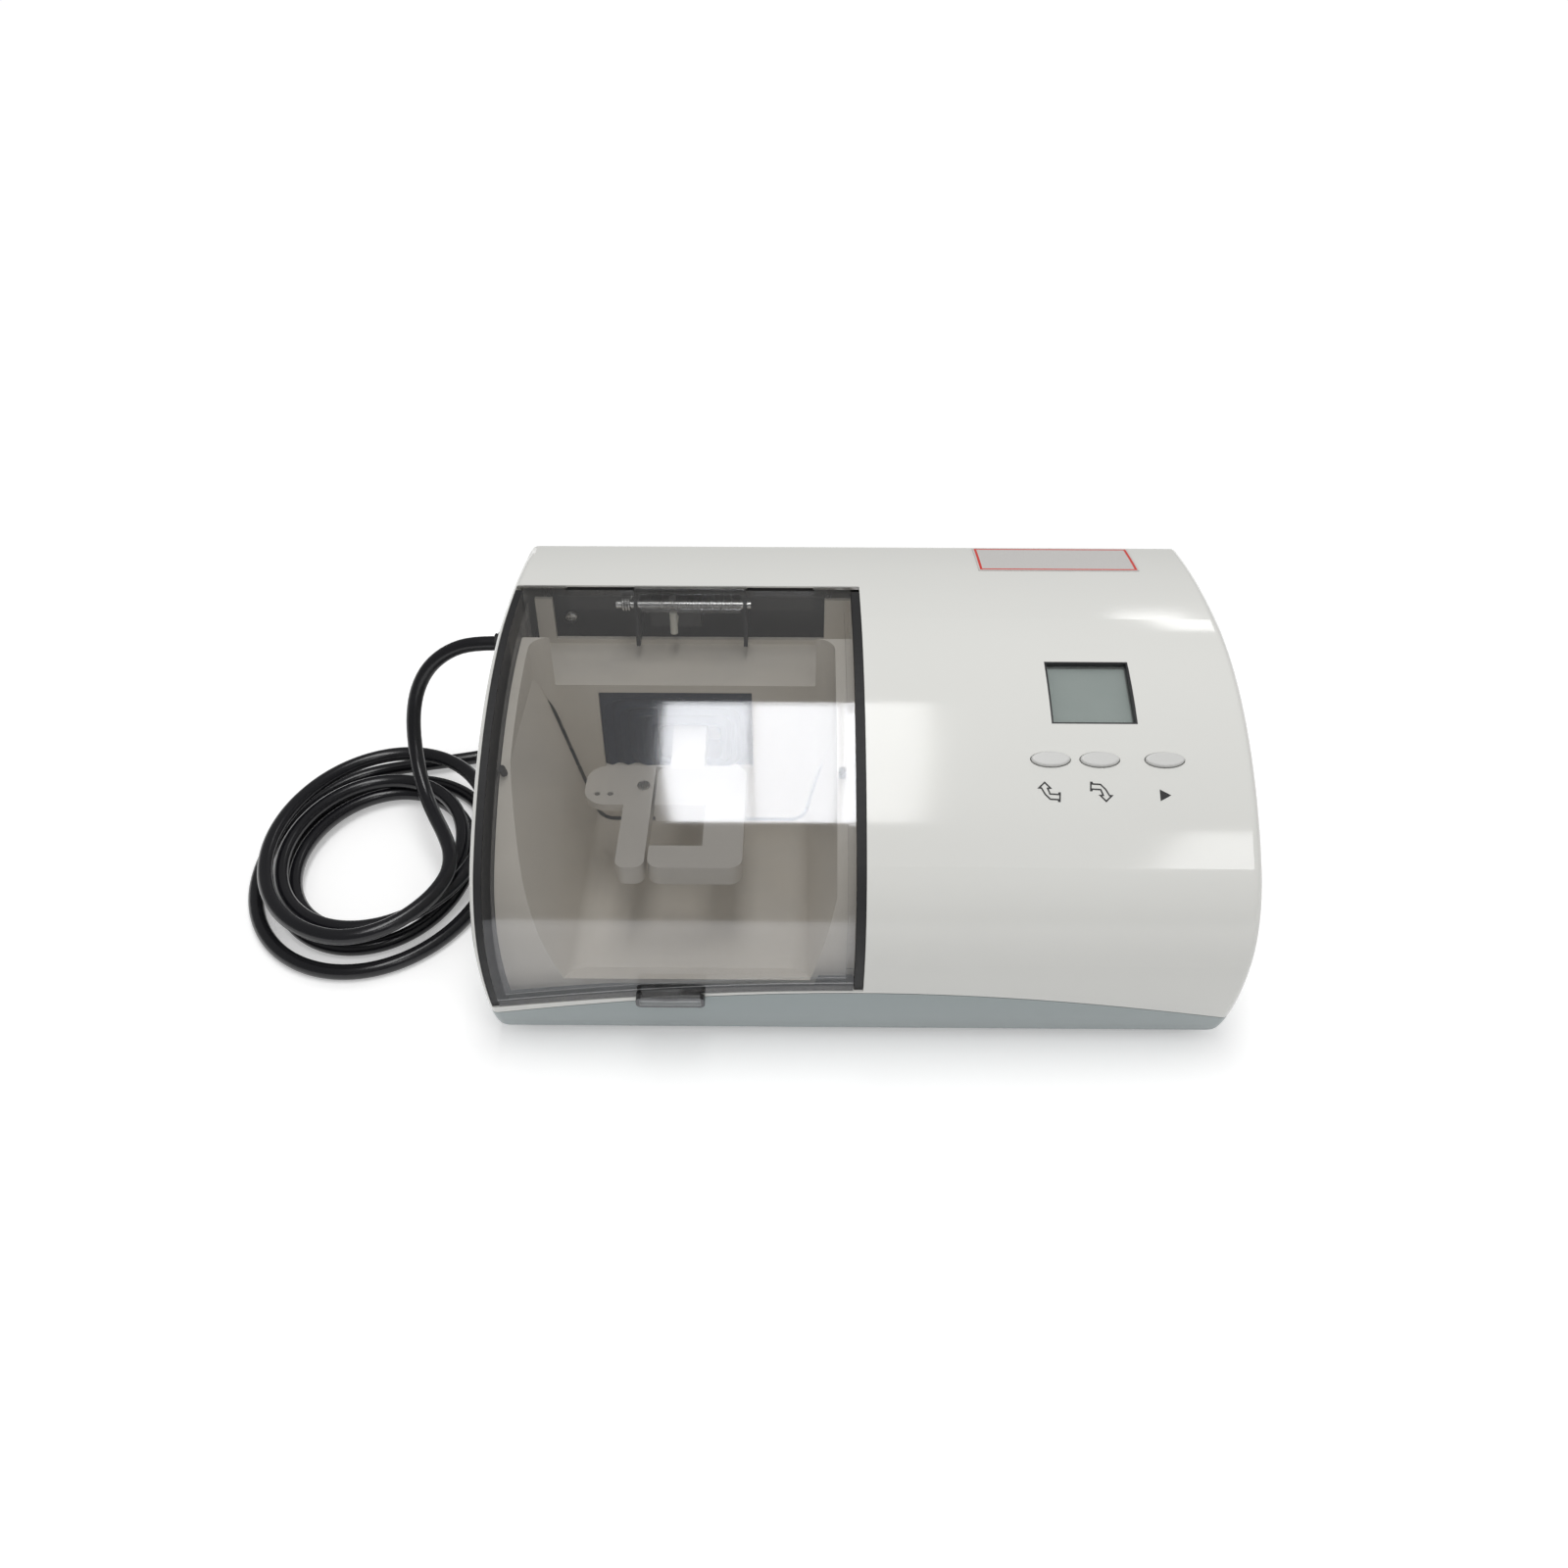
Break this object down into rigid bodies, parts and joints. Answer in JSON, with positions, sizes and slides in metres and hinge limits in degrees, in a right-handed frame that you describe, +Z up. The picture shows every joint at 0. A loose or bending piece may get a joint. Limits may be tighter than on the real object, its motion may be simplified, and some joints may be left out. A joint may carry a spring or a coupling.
{
  "type": "dental amalgamator",
  "caption": "Tabletop dental capsule mixer with a smoked flip-up lid over a swinging capsule arm, a small display, three keys and a coiled mains cord.",
  "frame": {"origin": "on the table under the middle of the body, without the cord", "axes": "+X to the display side, +Y to the back, +Z up"},
  "size_m": [0.394, 0.2149, 0.1228],
  "materials": {
    "shell_white": "gloss",
    "base_grey": "satin",
    "smoke": "gloss",
    "tub_grey": "matte",
    "black_rubber": "matte",
    "black_plastic": "matte",
    "key_grey": "satin",
    "steel": "brushed",
    "zinc": "satin",
    "alloy": "satin",
    "iron": "matte",
    "bronze": "satin",
    "copper": "satin",
    "board_green": "satin",
    "glass_clear": "gloss",
    "lcd_grey": "gloss",
    "label_grey": "satin",
    "nylon": "matte"
  },
  "bodies": {
    "base": {"upper_housing": "shell_white", "base_tray": "base_grey", "rubber_feet": "black_rubber", "case_screws": "steel", "blank_label": "label_grey", "mixing_tub": "tub_grey", "lid_seals": "black_rubber", "lid_buffers": "black_rubber", "hinge_bracket": "zinc", "hinge_pin": "steel", "hinge_spring": "steel", "interlock_switch": "black_plastic", "mechanism_plate": "zinc", "plate_isolators": "black_rubber", "inner_screws": "steel", "motor_can": "zinc", "shaft_bushes": "bronze", "motor_stator": "copper", "motor_saddle": "alloy", "motor_strap": "steel", "pillow_block": "alloy", "arm_guide": "nylon", "dust_boot": "black_rubber", "display_frame": "black_plastic", "display_window": "glass_clear", "lcd_module": "lcd_grey", "display_board": "board_green", "key_board": "board_green", "tact_switches": "black_plastic", "control_board": "board_green", "board_parts": "black_plastic", "transformer_core": "iron", "transformer_winding": "copper", "power_switch": "black_plastic", "fuse_holder": "black_plastic", "fuse_cap": "black_plastic", "terminal_block": "nylon", "strain_relief": "black_rubber", "cord_lead": "black_rubber", "cord_tail": "black_rubber", "cord_coil": "black_rubber", "plug_body": "black_rubber", "plug_blades": "alloy"},
    "lid": {"lid": "smoke", "lid_striker": "nylon"},
    "drive": {"motor_rotor": "iron", "shaft_coupling": "alloy", "drive_shaft": "steel", "counterweight": "alloy", "skew_journal": "steel"},
    "arm": {"mixing_arm": "alloy", "arm_bearing": "steel", "jaw_pin": "steel"},
    "clamp": {"clamp_lever": "alloy", "lever_rivets": "steel"},
    "key_up": {"key_up": "key_grey"},
    "key_down": {"key_down": "key_grey"},
    "key_start": {"key_start": "key_grey"},
    "plunger": {"interlock_plunger": "nylon"},
    "rocker": {"rocker": "black_plastic"}
  },
  "joints": [
    {"name": "lid_hinge", "type": "hinge", "parent": "base", "child": "lid", "pos_m": [-0.0665, 0.0385, 0.1168], "axis": [-1, 0, 0], "range_deg": [0, 80]},
    {"name": "motor_spin", "type": "hinge", "parent": "base", "child": "drive", "pos_m": [0, 0.051, 0.0675], "axis": [1, 0, 0], "continuous": true},
    {"name": "arm_swing", "type": "hinge", "parent": "base", "child": "arm", "pos_m": [-0.066, 0.051, 0.0675], "axis": [0, 0, 1], "range_deg": [-4, 4]},
    {"name": "clamp_jaw", "type": "hinge", "parent": "arm", "child": "clamp", "pos_m": [-0.082, -0.012, 0.0625], "axis": [0, 0, -1], "range_deg": [0, 5], "stiffness_Nm_per_rad": 0.2, "springref_deg": -5.73},
    {"name": "key_up_press", "type": "slide", "parent": "base", "child": "key_up", "axis": [0, 0.471, -0.8821], "range_m": [0, 0.0008], "stiffness_N_per_m": 900, "springref_m": -0.0004},
    {"name": "key_down_press", "type": "slide", "parent": "base", "child": "key_down", "axis": [0, 0.471, -0.8821], "range_m": [0, 0.0008], "stiffness_N_per_m": 900, "springref_m": -0.0004},
    {"name": "key_start_press", "type": "slide", "parent": "base", "child": "key_start", "axis": [0, 0.471, -0.8821], "range_m": [0, 0.0008], "stiffness_N_per_m": 900, "springref_m": -0.0004},
    {"name": "plunger_press", "type": "slide", "parent": "base", "child": "plunger", "axis": [0, 1, 0], "range_m": [0, 0.0011], "stiffness_N_per_m": 400, "springref_m": -0.0004},
    {"name": "rocker_tilt", "type": "hinge", "parent": "base", "child": "rocker", "pos_m": [0.104, 0.087, 0.062], "axis": [0, 0, 1], "range_deg": [0, 10]}
  ]
}
